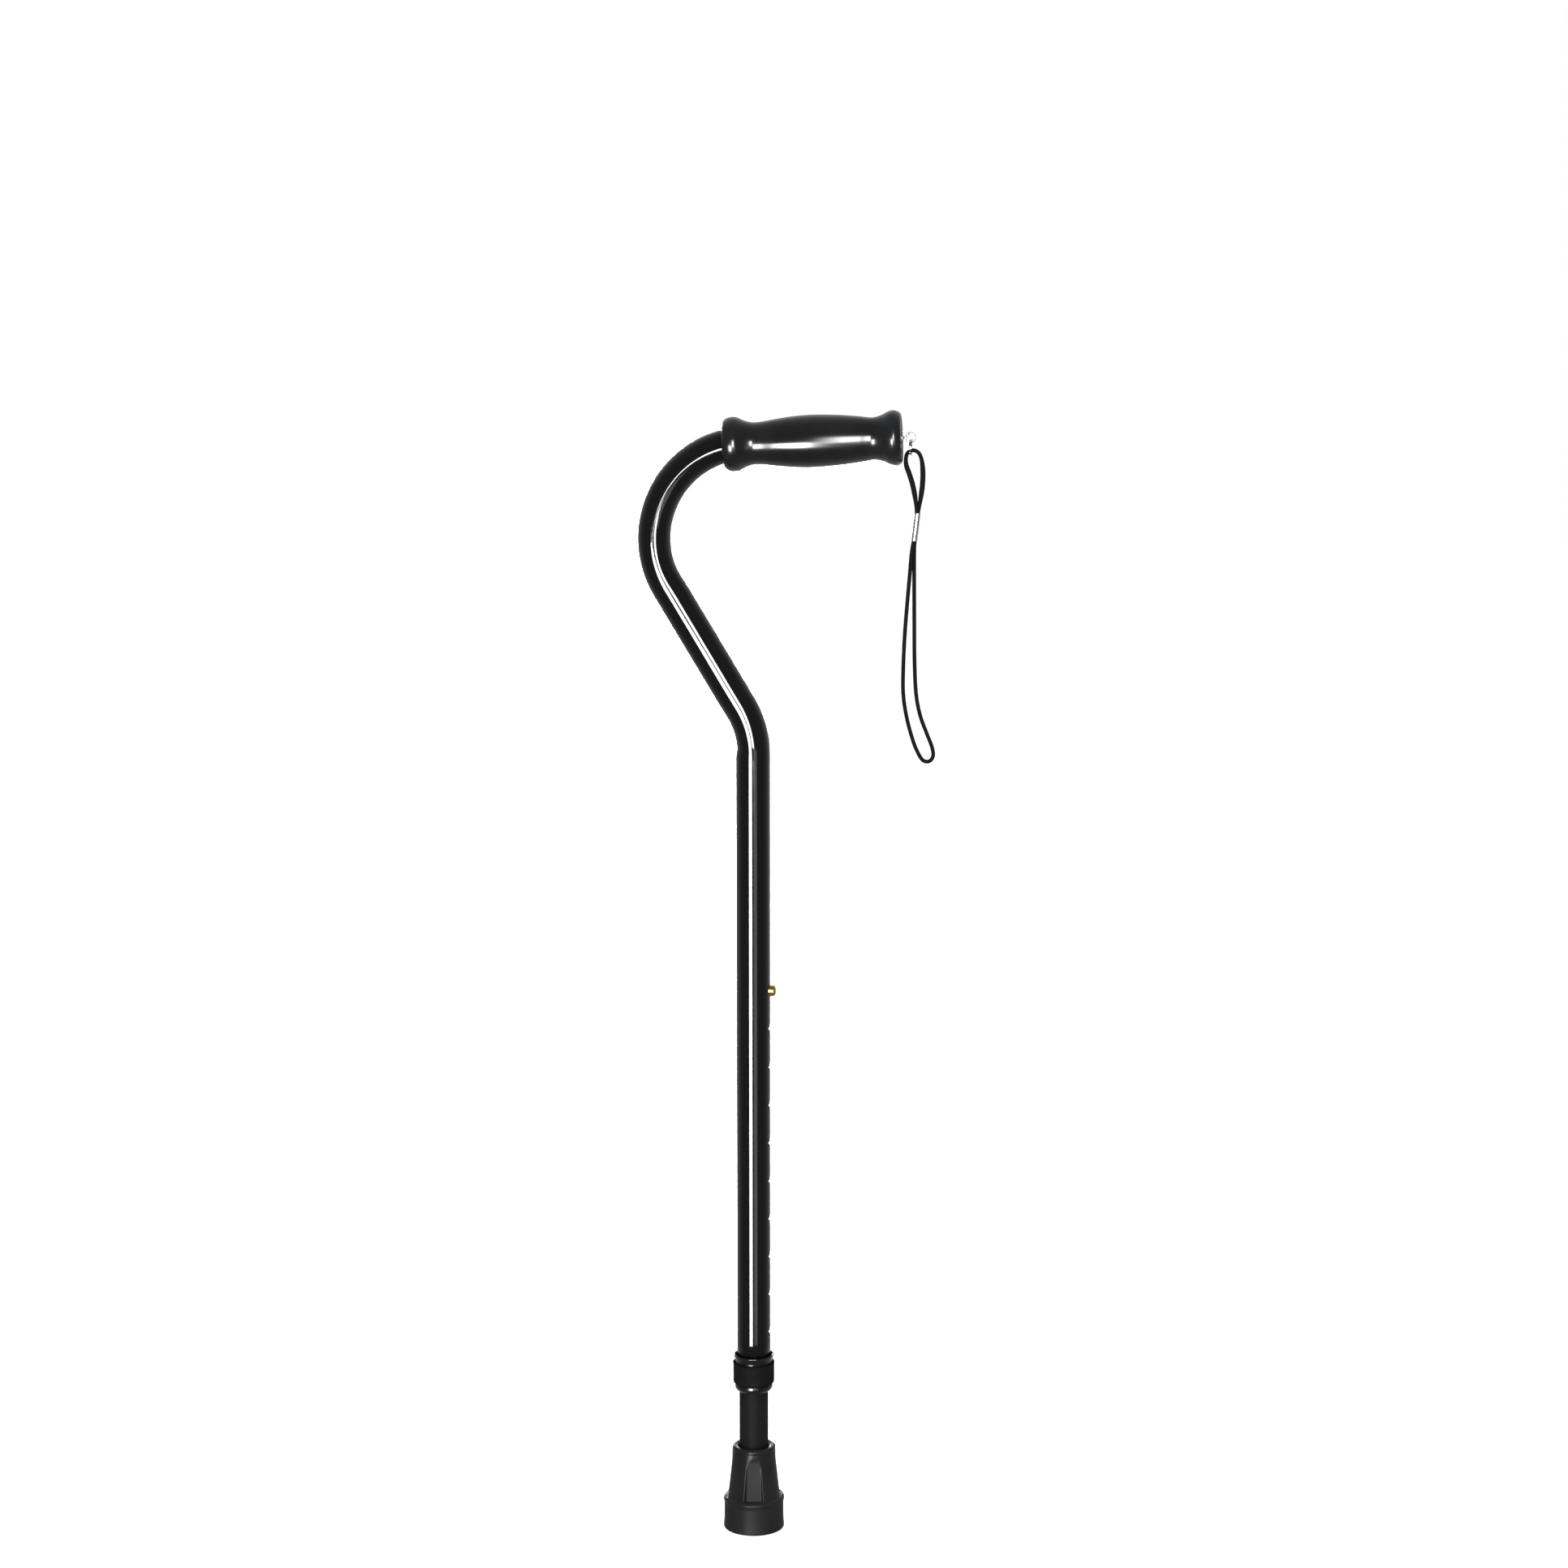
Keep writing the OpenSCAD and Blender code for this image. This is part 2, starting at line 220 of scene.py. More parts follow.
# -------------------------------- material helpers
class Paint:
    """A procedural material, put together from nodes. Its textures are in metres."""

    def __init__(self, name, colour, roughness, metallic=0.0, specular=0.5):
        self.material = bpy.data.materials.new(name)
        self.material.use_nodes = True
        self.tree = self.material.node_tree
        self.tree.nodes.clear()
        self.shader = self.node("ShaderNodeBsdfPrincipled")
        output = self.node("ShaderNodeOutputMaterial")
        self.tree.links.new(self.shader.outputs[0], output.inputs[0])
        self.place = self.node("ShaderNodeTexCoord").outputs["Object"]
        self.set("Base Color", colour)
        self.set("Roughness", roughness)
        self.set("Metallic", metallic)
        self.set("Specular IOR Level", specular)

    def node(self, kind, **settings):
        made = self.tree.nodes.new(kind)
        for key, value in settings.items():
            setattr(made, key, value)
        return made

    def put(self, socket, value):
        """Links an output into a socket, or sets the socket to a number or a colour."""
        if isinstance(value, bpy.types.NodeSocket):
            self.tree.links.new(value, socket)
        elif isinstance(value, tuple) and len(value) == 3 and len(socket.default_value) == 4:
            socket.default_value = (*value, 1)
        else:
            socket.default_value = value

    def set(self, name, value):
        self.put(self.shader.inputs[name], value)

    def math(self, operation, a, b=0.0):
        made = self.node("ShaderNodeMath", operation=operation)
        self.put(made.inputs[0], a)
        self.put(made.inputs[1], b)
        return made.outputs[0]

    def axes(self):
        """The X, Y and Z of the place."""
        made = self.node("ShaderNodeSeparateXYZ")
        self.put(made.inputs[0], self.place)
        return made.outputs

    def noise(self, scale, detail, stretch=(1, 1, 1)):
        """Noise from 0 to 1, with scale cells to a metre before it is stretched."""
        moved = self.node("ShaderNodeMapping")
        self.put(moved.inputs["Vector"], self.place)
        moved.inputs["Scale"].default_value = stretch
        made = self.node("ShaderNodeTexNoise")
        self.put(made.inputs["Vector"], moved.outputs[0])
        made.inputs["Scale"].default_value = scale
        made.inputs["Detail"].default_value = detail
        return made.outputs[0]

    def remap(self, value, low, high, to_low, to_high):
        """The value, moved from between low and high to between the two others."""
        made = self.node("ShaderNodeMapRange")
        for socket, number in zip(made.inputs, (value, low, high, to_low, to_high)):
            self.put(socket, number)
        return made.outputs[0]

    def blend(self, share, a, b):
        made = self.node("ShaderNodeMix", data_type="RGBA")
        self.put(made.inputs["Factor"], share)
        self.put(made.inputs[6], a)
        self.put(made.inputs[7], b)
        return made.outputs[2]

    def shine(self, value, smooth_end, rough_end, low=0.3):
        """Roughness that follows a noise, from one end to the other."""
        self.set("Roughness", self.remap(value, low, 0.7, smooth_end, rough_end))

    def tint(self, value, low, high, first, second):
        """Colour that goes from first to second as a noise goes from low to high."""
        self.set("Base Color", self.blend(self.remap(value, low, high, 0, 1), first, second))

    def bump(self, height, depth, below=None):
        """Surface relief: height 1 stands depth metres above height 0."""
        made = self.node("ShaderNodeBump")
        made.inputs["Strength"].default_value = 1.0
        made.inputs["Distance"].default_value = depth
        self.put(made.inputs["Height"], height)
        if below is not None:
            self.put(made.inputs["Normal"], below)
        self.set("Normal", made.outputs[0])
        return made.outputs[0]


# -------------------------------- the tube's centreline
BEND_RADIUS = 60 * MM
CRANK = math.radians(31)
TUBE_WALL = 1.2 * MM

grip_mount = next(m for m in record["mounts"] if m["name"] == "hand_grip")
HANDLE = np.array(grip_mount["axis"], float)
TILT = math.atan2(HANDLE[2], HANDLE[0])

tube_low, tube_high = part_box("upper_tube")
TUBE_R = tube_high.y
end_rise = TUBE_R * math.cos(TILT)
handle_end = np.array([tube_high.x - TUBE_R * math.sin(TILT), tube_high.z - end_rise])
crook_x = tube_low.x + TUBE_R + BEND_RADIUS
crook_end_x = crook_x - BEND_RADIUS * math.sin(TILT)
HANDLE_RUN = (handle_end[0] - crook_end_x) / math.cos(TILT)
crook_end = handle_end - HANDLE_RUN * HANDLE[[0, 2]]
crook = np.array([crook_x, crook_end[1] - BEND_RADIUS * math.cos(TILT)])
crook_start = crook - BEND_RADIUS * np.array([math.cos(CRANK), math.sin(CRANK)])
crank_end_x = -BEND_RADIUS * (1 - math.cos(CRANK))
CRANK_RUN = (crank_end_x - crook_start[0]) / math.sin(CRANK)
crank_end = np.array([crank_end_x, crook_start[1] - CRANK_RUN * math.cos(CRANK)])
CRANK_Z = crank_end[1] - BEND_RADIUS * math.sin(CRANK)
CROOK_TURN = math.pi / 2 + CRANK - TILT

# Distances along the centreline at which each run ends, from the tube's lower end
S_CRANK = CRANK_Z - tube_low.z
S_RUN = S_CRANK + BEND_RADIUS * CRANK
S_CROOK = S_RUN + CRANK_RUN
S_HANDLE = S_CROOK + BEND_RADIUS * CROOK_TURN
S_END = S_HANDLE + HANDLE_RUN

# In a bend the tube is flatter inside and wider across. This comes and goes over an ease,
# and a share of each ease lies outside the bend
SHORT_EASE, LONG_EASE = 7 * MM, 30 * MM
EASE_OUTSIDE = 0.3
INNER_FLAT = 0.075
OUTER_SWELL = 0.02
TUBE_SIDES = 96


def lean_at(s):
    """How far the centreline leans towards +X from straight up, in radians."""
    return (-np.clip((s - S_CRANK) / BEND_RADIUS, 0, CRANK)
            + np.clip((s - S_CROOK) / BEND_RADIUS, 0, CROOK_TURN))


def centre_at(s):
    """The centreline's x and z at a distance s from the tube's lower end."""
    lean = lean_at(s)
    if s <= S_CRANK:
        return np.array([0.0, tube_low.z + s])
    if s <= S_RUN:
        out = np.array([math.cos(lean), -math.sin(lean)])
        return np.array([-BEND_RADIUS, CRANK_Z]) + BEND_RADIUS * out
    if s <= S_CROOK:
        return crank_end + (s - S_RUN) * np.array([-math.sin(CRANK), math.cos(CRANK)])
    if s <= S_HANDLE:
        return crook - BEND_RADIUS * np.array([math.cos(lean), -math.sin(lean)])
    return crook_end + (s - S_HANDLE) * HANDLE[[0, 2]]


def squeeze_at(s, start, end, rise, fall):
    """1 inside a bend and 0 outside it. It takes rise to come and fall to go."""
    come = ease((s - start + rise * EASE_OUTSIDE) / rise)
    return come * (1 - ease((s - end + fall * (1 - EASE_OUTSIDE)) / fall))


def tube_axes(s):
    """The centreline's place, direction and side towards +X, at a distance s."""
    lean = lean_at(s)
    x, z = centre_at(s)
    ahead = np.array([math.sin(lean), 0, math.cos(lean)])
    side = np.array([math.cos(lean), 0, -math.sin(lean)])
    return np.array([x, 0, z]), ahead, side


def tube_ring(s, radius):
    """A ring of the bent tube: round in its straight runs, flattened inside its bends."""
    angles = circle_angles(TUBE_SIDES)
    place, _, side = tube_axes(s)
    in_crank = squeeze_at(s, S_CRANK, S_RUN, SHORT_EASE, LONG_EASE)
    in_crook = squeeze_at(s, S_CROOK, S_HANDLE, LONG_EASE, LONG_EASE)
    across = np.cos(angles)
    across = across * (1 - np.where(across > 0, in_crook, in_crank) * INNER_FLAT)
    wide = np.sin(angles) * (1 + OUTER_SWELL * max(in_crank, in_crook))
    return place + radius * np.outer(across, side) + radius * np.outer(wide, SIDEWAYS)


# -------------------------------- tubes with drilled holes
# Each hole is cut in a square patch of the wall, PATCH faces to each side of its middle
PATCH = 8
HOLE_R = 3.95 * MM
HOLE_EDGE = 0.25 * MM
HOLE_PITCH = 25.4 * MM
HOLE_COUNT = 10
button_low, button_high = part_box("snap_button")
BUTTON_Z = (button_low.z + button_high.z) / 2


def patch_edge():
    """(row, column) steps round a square patch, anticlockwise from its lower right corner."""
    run = range(-PATCH, PATCH)
    return ([(k, PATCH) for k in run] + [(PATCH, -k) for k in run]
            + [(-k, -PATCH) for k in run] + [(-PATCH, k) for k in run])


def hole_rings(hole_z, outer_r, inner_r, row_height):
    """Rings that lead from the outer wall's patch, through the hole, to the inner wall's."""
    edge = patch_edge()
    turns = circle_angles(len(edge)) - math.pi / 4
    step = 2 * math.pi / TUBE_SIDES

    def on_wall(radius, share):
        """A ring on the wall, at a share of the way from the patch's edge to the hole's."""
        rim = HOLE_R + HOLE_EDGE
        square = np.array([(column * step * radius, row * row_height) for row, column in edge])
        hole = np.stack([radius * np.arcsin(rim * np.cos(turns) / radius), rim * np.sin(turns)], 1)
        flat = square + (hole - square) * share
        bend = flat[:, 0] / radius
        return np.stack([radius * np.cos(bend), radius * np.sin(bend), hole_z + flat[:, 1]], 1)

    def on_edge(radius, turn, into):
        """A ring on the rounded edge of the hole, where it turns into the wall."""
        rim = HOLE_R + HOLE_EDGE * (1 - math.sin(turn))
        y = rim * np.cos(turns)
        x = np.sqrt(radius ** 2 - y ** 2) - into * HOLE_EDGE * (1 - math.cos(turn))
        return np.stack([x, y, hole_z + rim * np.sin(turns)], 1)

    shares = (0.4, 0.75, 1.0)
    bends = [math.radians(a) for a in (30, 60, 90)]
    return ([on_wall(outer_r, s) for s in shares] + [on_edge(outer_r, a, 1) for a in bends]
            + [on_edge(inner_r, a, -1) for a in reversed(bends)]
            + [on_wall(inner_r, s) for s in reversed(shares)])


def drilled_tube(name, ring_at, levels, holes, outer_r, inner_r, material, body, node):
    """A tube from rings, with holes drilled through its +X wall.

    ring_at gives the ring of a level and a radius. levels are where rings are wanted, and
    holes are the levels of the holes' middles.
    """
    sides = TUBE_SIDES
    row_height = 2 * math.pi * outer_r / sides
    rows = {z + k * row_height for z in holes for k in range(-PATCH, PATCH + 1)}
    levels = np.array(sorted(rows | set(levels)))
    outer = np.array([ring_at(s, outer_r) for s in levels])
    inner = np.array([ring_at(s, inner_r) for s in levels])
    count = len(levels)
    points = [outer.reshape(-1, 3), inner.reshape(-1, 3)]
    grids = np.arange(2 * count * sides).reshape(2, count, sides)
    open_faces = set()
    faces = []
    used = grids.size
    for z in holes:
        centre = int(np.argmin(abs(levels - z)))
        open_faces |= {(centre + i, j % sides)
                       for i in range(-PATCH, PATCH) for j in range(-PATCH, PATCH)}
        edge = [(centre + i, j % sides) for i, j in patch_edge()]
        rings = hole_rings(outer[centre, 0, 2], outer_r, inner_r, row_height)
        points += rings
        middle = np.arange(len(rings) * len(edge)).reshape(len(rings), len(edge)) + used
        used += middle.size
        first, last = ([grid[i, j] for i, j in edge] for grid in grids)
        faces.append(ring_quads(np.vstack([first, middle, last])))
    for grid in grids:
        quads = ring_quads(grid).reshape(count - 1, sides, 4)
        faces.append([quads[i, j] for i in range(count - 1) for j in range(sides)
                      if (i, j) not in open_faces])
    for end in (0, -1):
        faces.append(ring_quads(np.vstack([grids[0][end], grids[1][end]])))
    return build(name, np.concatenate(points), np.concatenate(faces), material, body, [node])


# -------------------------------- materials
def gloss_paint():
    """Gloss black coat with faint orange peel, and paint worn off at the rims of the holes."""
    coat, bare_metal = (0.0035, 0.0035, 0.004), (0.5, 0.5, 0.52)
    paint = Paint("gloss_black_paint", coat, 0.07)
    paint.shine(paint.noise(45, 4), 0.045, 0.10, low=0.35)
    x, y, z = paint.axes()
    along = paint.math("SUBTRACT", z, BUTTON_Z - HOLE_PITCH / 2)
    along = paint.math("FLOORED_MODULO", along, HOLE_PITCH)
    along = paint.math("SUBTRACT", along, HOLE_PITCH / 2)
    across = paint.math("MULTIPLY", y, y)
    away = paint.math("SQRT", paint.math("ADD", paint.math("MULTIPLY", along, along), across))
    chips = paint.math("MULTIPLY", paint.noise(1900, 4), 1.1 * MM)
    edge = paint.math("SUBTRACT", away, chips)
    worn = paint.remap(edge, HOLE_R - 0.42 * MM, HOLE_R - 0.36 * MM, 1, 0)
    worn = paint.math("MULTIPLY", worn, paint.math("GREATER_THAN", x, TUBE_R * 0.8))
    worn = paint.math("MULTIPLY", worn, paint.math("LESS_THAN", z, BUTTON_Z + HOLE_PITCH / 2))
    paint.set("Base Color", paint.blend(worn, coat, bare_metal))
    paint.set("Metallic", worn)
    peel = paint.bump(paint.noise(420, 2), 0.010 * MM)
    paint.bump(worn, -0.03 * MM, peel)
    return paint.material


def satin_paint():
    """Satin black tube with fine lines along it, from drawing and from sliding."""
    paint = Paint("satin_black_tube", (0.0075, 0.0075, 0.0082), 0.55, specular=0.035)
    lines = paint.noise(500, 3, stretch=(1, 1, 0.02))
    paint.shine(lines, 0.48, 0.62)
    cloud = paint.noise(30, 4)
    paint.tint(cloud, 0.3, 0.7, (0.0065, 0.0065, 0.0072), (0.0088, 0.0088, 0.0096))
    paint.bump(lines, 0.006 * MM)
    return paint.material


def grip_vinyl():
    """Glossy dipped vinyl: soft waves, and a slightly uneven shine."""
    paint = Paint("glossy_black_vinyl", (0.0055, 0.0058, 0.0062), 0.2)
    cloud = paint.noise(38, 4)
    paint.shine(cloud, 0.15, 0.25)
    paint.tint(cloud, 0.35, 0.65, (0.005, 0.0053, 0.0058), (0.0075, 0.008, 0.0085))
    waves = paint.bump(paint.noise(85, 2), 0.02 * MM)
    paint.bump(paint.noise(2400, 2), 0.0015 * MM, waves)
    return paint.material


def nut_plastic():
    """Moulded glossy nylon."""
    paint = Paint("glossy_black_nylon", (0.006, 0.006, 0.0065), 0.16)
    paint.shine(paint.noise(160, 4), 0.11, 0.24)
    paint.bump(paint.noise(900, 3), 0.003 * MM)
    return paint.material


def band_rubber():
    """Matt soft-touch band with a fine moulded grain."""
    paint = Paint("matt_black_band", (0.0055, 0.0055, 0.006), 0.6, specular=0.035)
    grain = paint.noise(3200, 3)
    paint.shine(grain, 0.55, 0.75)
    dust = paint.noise(70, 5)
    paint.tint(dust, 0.5, 0.75, (0.005, 0.005, 0.0055), (0.008, 0.008, 0.0085))
    paint.bump(grain, 0.012 * MM)
    return paint.material


def foot_rubber():
    """Moulded rubber with a soft sheen, flow marks, and grey scuffs round the sole."""
    paint = Paint("moulded_black_rubber", (0.01, 0.01, 0.011), 0.4, specular=0.16)
    paint.set("IOR", 1.32)
    flow = paint.noise(60, 5, stretch=(1, 1, 0.35))
    height = paint.axes()[2]
    scuff = paint.math("MULTIPLY", paint.remap(height, 0.2 * MM, 2.5 * MM, 1, 0),
                       paint.remap(paint.noise(420, 5), 0.4, 0.8, 0, 1))
    shade = paint.blend(paint.remap(flow, 0.3, 0.7, 0, 1),
                        (0.009, 0.009, 0.01), (0.0125, 0.0125, 0.0135))
    paint.set("Base Color", paint.blend(scuff, shade, (0.025, 0.025, 0.025)))
    rough = paint.math("ADD", paint.remap(flow, 0.3, 0.7, 0.24, 0.34),
                       paint.remap(height, 17 * MM, 22 * MM, 0.22, 0))
    paint.set("Roughness", paint.math("ADD", rough, paint.math("MULTIPLY", scuff, 0.2)))
    coarse = paint.bump(flow, 0.05 * MM)
    paint.bump(paint.noise(2600, 3), 0.006 * MM, coarse)
    return paint.material


def cord_weave():
    """Black polyester braid: fine fibres over the strands that the mesh makes."""
    paint = Paint("black_braid", (0.004, 0.004, 0.0045), 0.72, specular=0.06)
    fibres = paint.noise(5200, 3, stretch=(1, 1, 0.35))
    paint.tint(fibres, 0.35, 0.7, (0.0018, 0.0018, 0.0022), (0.0075, 0.0075, 0.0085))
    paint.shine(fibres, 0.6, 0.85)
    paint.bump(fibres, 0.05 * MM)
    return paint.material


def bright_steel():
    """Nickel-plated steel with faint tarnish and hairline scratches."""
    paint = Paint("bright_nickel", (0.78, 0.77, 0.74), 0.12, metallic=1.0)
    tarnish = paint.noise(700, 5)
    paint.tint(tarnish, 0.45, 0.75, (0.82, 0.81, 0.79), (0.52, 0.49, 0.43))
    paint.shine(tarnish, 0.07, 0.22)
    paint.bump(paint.noise(3000, 2, stretch=(1, 1, 0.1)), 0.003 * MM)
    return paint.material


def crimp_metal():
    """Bright rolled sleeve, with brush lines along it and handling marks."""
    paint = Paint("bright_crimp", (0.9, 0.9, 0.91), 0.2, metallic=1.0)
    lines = paint.noise(2600, 4, stretch=(1, 1, 0.03))
    paint.shine(lines, 0.15, 0.3)
    marks = paint.noise(500, 4)
    paint.tint(marks, 0.45, 0.8, (0.93, 0.93, 0.94), (0.6, 0.6, 0.6))
    dents = paint.bump(marks, 0.02 * MM)
    paint.bump(lines, 0.004 * MM, dents)
    return paint.material


def button_brass():
    """Polished brass, browner where nothing rubs it."""
    paint = Paint("polished_brass", (0.86, 0.62, 0.2), 0.16, metallic=1.0)
    patina = paint.noise(900, 5)
    paint.tint(patina, 0.45, 0.8, (0.90, 0.66, 0.22), (0.45, 0.28, 0.07))
    paint.shine(patina, 0.1, 0.28)
    paint.bump(paint.noise(2500, 3), 0.004 * MM)
    return paint.material


def spring_steel():
    """Plain spring steel with a rolled grain and an oily tint."""
    paint = Paint("spring_steel", (0.45, 0.45, 0.46), 0.35, metallic=1.0)
    grain = paint.noise(1500, 4, stretch=(1, 1, 0.04))
    paint.shine(grain, 0.28, 0.45)
    paint.set("Base Color", paint.blend(paint.noise(200, 4), (0.5, 0.5, 0.5), (0.3, 0.27, 0.25)))
    paint.bump(grain, 0.004 * MM)
    return paint.material


def plug_plastic():
    """Plain black nylon of the pieces inside."""
    paint = Paint("plain_black_nylon", (0.012, 0.012, 0.012), 0.48)
    grain = paint.noise(800, 4)
    paint.shine(grain, 0.4, 0.58)
    paint.set("Base Color", paint.blend(grain, (0.010, 0.010, 0.010), (0.018, 0.018, 0.018)))
    paint.bump(grain, 0.01 * MM)
    return paint.material


STEEL = bright_steel()


# -------------------------------- strap: cord and crimp
# The same route as the CAD cord's, in millimetres, as (x, y, z)
STRAP_ROUTE = MM * np.array([
    (103.7, 1.4, 661), (104.4, 1.4, 667), (105.2, 1.4, 672), (106.6, 1.2, 680),
    (107.6, 0.9, 688), (107.8, 0.6, 696), (107, 0.3, 703.4), (105, 0.1, 707.9),
    (101.4, 0, 709.4), (98.1, -0.1, 707.6), (97.1, -0.3, 704), (97.5, -0.5, 699.6),
    (99.2, -0.8, 695), (101.3, -1.1, 688.5), (103, -1.4, 680.5), (104.1, -1.4, 672),
    (103.9, -1.4, 667), (103.2, -1.4, 661), (102.2, -1.4, 652), (101, -1.4, 644),
    (99.9, -1.5, 630), (98.4, -1.7, 612), (97, -1.8, 592), (96.2, -1.8, 572),
    (96.3, -1.7, 555), (98.6, -1.3, 540), (102.4, -0.8, 526), (105.6, -0.4, 518),
    (109, 0, 512.8), (113, 0.3, 512.2), (115.4, 0.5, 515.6), (114.6, 0.8, 521.5),
    (111.2, 1.3, 530), (106.8, 1.6, 542), (104.2, 1.8, 556), (103.2, 1.8, 576),
    (102.9, 1.7, 600), (102.6, 1.4, 644), (102.9, 1.4, 652), (103.6, 1.4, 660),
])
CORD_D = 2.6 * MM
CORD_SIDES = 40
CORD_STEP = 0.22 * MM
STRANDS = 7
STRAND_PITCH = 8.5 * MM
STRAND_RELIEF = 0.12
UNDER_SHARE = 0.38
# The cord swells in the small loop above the crimp, between these heights
LOOP_FOOT, LOOP_TOP, SWELL_EASE = 674 * MM, 706 * MM, 10 * MM
LOOP_SWELL = 0.3


def even_path(points, step):
    """The same path with its points a step apart, and their distances along it."""
    lengths = np.concatenate([[0], np.cumsum(np.linalg.norm(np.diff(points, axis=0), axis=1))])
    places = np.linspace(0, lengths[-1], int(lengths[-1] / step) + 1)
    path = np.stack([np.interp(places, lengths, points[:, k]) for k in range(3)], 1)
    return path, places


def braid_height(angles, along):
    """0 between the strands of a round braid and 1 on top of them. Half of them run each way."""
    turn = STRANDS * angles[None, :] / (2 * math.pi)
    climb = STRANDS * along[:, None] / STRAND_PITCH
    left, right = turn + climb, turn - climb
    over = 0.5 + 0.5 * np.cos(math.pi * (np.floor(left) + np.floor(right)))
    one, other = (np.sin(math.pi * (k % 1.0)) for k in (left, right))
    return np.maximum(one * (1 - UNDER_SHARE + UNDER_SHARE * over * other),
                      other * (1 - UNDER_SHARE * over * one))


def make_strap():
    """The wrist strap's cord, from the crimp round the small loop and the long one, and back."""
    crimp = make_crimp()
    path, along = even_path(smooth(STRAP_ROUTE, 8), CORD_STEP)
    angles = circle_angles(CORD_SIDES)
    relief = 1 - STRAND_RELIEF * (1 - braid_height(angles, along))
    height = path[:, 2:]
    in_loop = ease((height - LOOP_FOOT) / SWELL_EASE) * ease((LOOP_TOP - height) / SWELL_EASE)
    relief *= 1 + LOOP_SWELL * in_loop
    rings = capped(swept(path, relief * CORD_D / 2, angles, SIDEWAYS))
    strap = ring_piece("strap_braid", rings, cord_weave(), "strap", ["strap_cord"])


CRIMP_LEAN = math.radians(6.5)
CRIMP_LENGTH, CRIMP_WALL, CRIMP_EDGE = 18 * MM, 0.5 * MM, 0.22 * MM
CRIMP_HALF_WIDE, CRIMP_HALF_DEEP = 2.0 * MM, 3.3 * MM
NIP_HEIGHT, NIP_SPREAD, NIP_DEPTH = 4.5 * MM, 1.1 * MM, 0.07 * MM


def make_crimp():
    """A flattened sleeve round both strands, nipped in at two places, with a rolled edge."""
    low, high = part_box("crimp_sleeve")
    middle = np.array((low + high) / 2)
    along = np.array([math.sin(CRIMP_LEAN), 0, math.cos(CRIMP_LEAN)])
    across = np.cross(SIDEWAYS, along)
    angles = circle_angles(72)

    def ring(h, inset):
        """A slot-shaped ring: two half circles joined by flats."""
        nips = sum(math.exp(-((h - at) / NIP_SPREAD) ** 2) for at in (-NIP_HEIGHT, NIP_HEIGHT))
        r = CRIMP_HALF_WIDE - inset - NIP_DEPTH * nips
        shift = CRIMP_HALF_DEEP - CRIMP_HALF_WIDE
        x = r * np.cos(angles)
        y = r * np.sin(angles) + shift * np.clip(4 * np.sin(angles), -1, 1)
        return middle + h * along + np.outer(x, across) + np.outer(y, SIDEWAYS)

    half, flat = CRIMP_LENGTH / 2, CRIMP_LENGTH / 2 - CRIMP_EDGE
    roll = [(half - 0.06 * MM, 0.1 * MM), (half, CRIMP_EDGE + 0.05 * MM)]
    outline = ([(-h, inset) for h, inset in reversed(roll)]
               + [(h, 0) for h in np.linspace(-flat, flat, 60)] + roll
               + [(h, CRIMP_WALL) for h in np.linspace(flat, -flat, 12)])
    rings = np.array([ring(h, inset) for h, inset in outline])
    return ring_piece("crimp_rolled", rings, crimp_metal(), "strap",
                      ["crimp_sleeve"], wrap=True)


make_strap()


# -------------------------------- tubes
BEND_MARGIN, BEND_STEP = 14 * MM, 1.5 * MM


def make_upper_tube():
    """The bent tube, with the row of height holes down from the button's."""
    holes = [BUTTON_Z - tube_low.z - k * HOLE_PITCH for k in range(HOLE_COUNT)]
    bends = np.arange(S_CRANK - BEND_MARGIN, S_HANDLE + BEND_MARGIN, BEND_STEP)
    levels = [0, *np.linspace(holes[0] + 12 * MM, S_CRANK - 16 * MM, 8), *bends, S_END]
    drilled_tube("upper_tube_painted", tube_ring, levels, holes,
                 TUBE_R, TUBE_R - TUBE_WALL, gloss_paint(), "shaft", "upper_tube")


def make_lower_tube():
    """The straight tube inside, with the one hole that the button stands in."""
    low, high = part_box("lower_tube")
    angles = circle_angles(TUBE_SIDES)

    def ring(s, radius):
        return np.stack([radius * np.cos(angles), radius * np.sin(angles), 0 * angles + s], 1)

    levels = [low.z, *np.linspace(low.z + 5 * MM, BUTTON_Z - 9 * MM, 10), high.z]
    drilled_tube("lower_tube_satin", ring, levels, [BUTTON_Z], high.y, high.y - TUBE_WALL,
                 satin_paint(), "leg", "lower_tube")


make_upper_tube()
make_lower_tube()


# -------------------------------- grip
GRIP_LENGTH = 113 * MM
# (radius, distance from the mouth) in millimetres
GRIP_SIDE = [
    (14.2, 0.05), (15.3, 0.6), (16.4, 2.0), (17.15, 4.0), (17.4, 6.4), (17.0, 9.0),
    (15.7, 11.8), (14.5, 14.6), (13.65, 17.8), (13.42, 20.5), (13.75, 25), (14.9, 33),
    (16.1, 43), (16.7, 53), (16.55, 63), (15.9, 74), (14.75, 85), (13.85, 91),
    (13.48, 94.6), (13.9, 97.6), (15.1, 101.2), (16.6, 104.2), (17.4, 107), (17.35, 109),
    (16.5, 111.2), (15.2, 112.6), (13.6, 113),
]
GRIP_END = [(11, 113), (8, 112.9), (6, 112.7), (2, 112.7), (0, 112.7)]
# A mould seam runs along the grip's top and its bottom
SEAM_HEIGHT = 0.04 * MM
SEAM_WIDTH = 0.015
# The tube enters the grip's mouth before its bend has ended
MOUTH_S = S_HANDLE - 13 * MM
BORE_GAP = 0.08 * MM


def grip_angles():
    """Angles round the grip, with more of them close to the seam."""
    near_seam = np.radians((-1.5, -0.75, 0, 0.75, 1.5))
    angles = np.concatenate([circle_angles(128) + 0.02, near_seam, near_seam + math.pi])
    return np.sort(angles % (2 * math.pi))


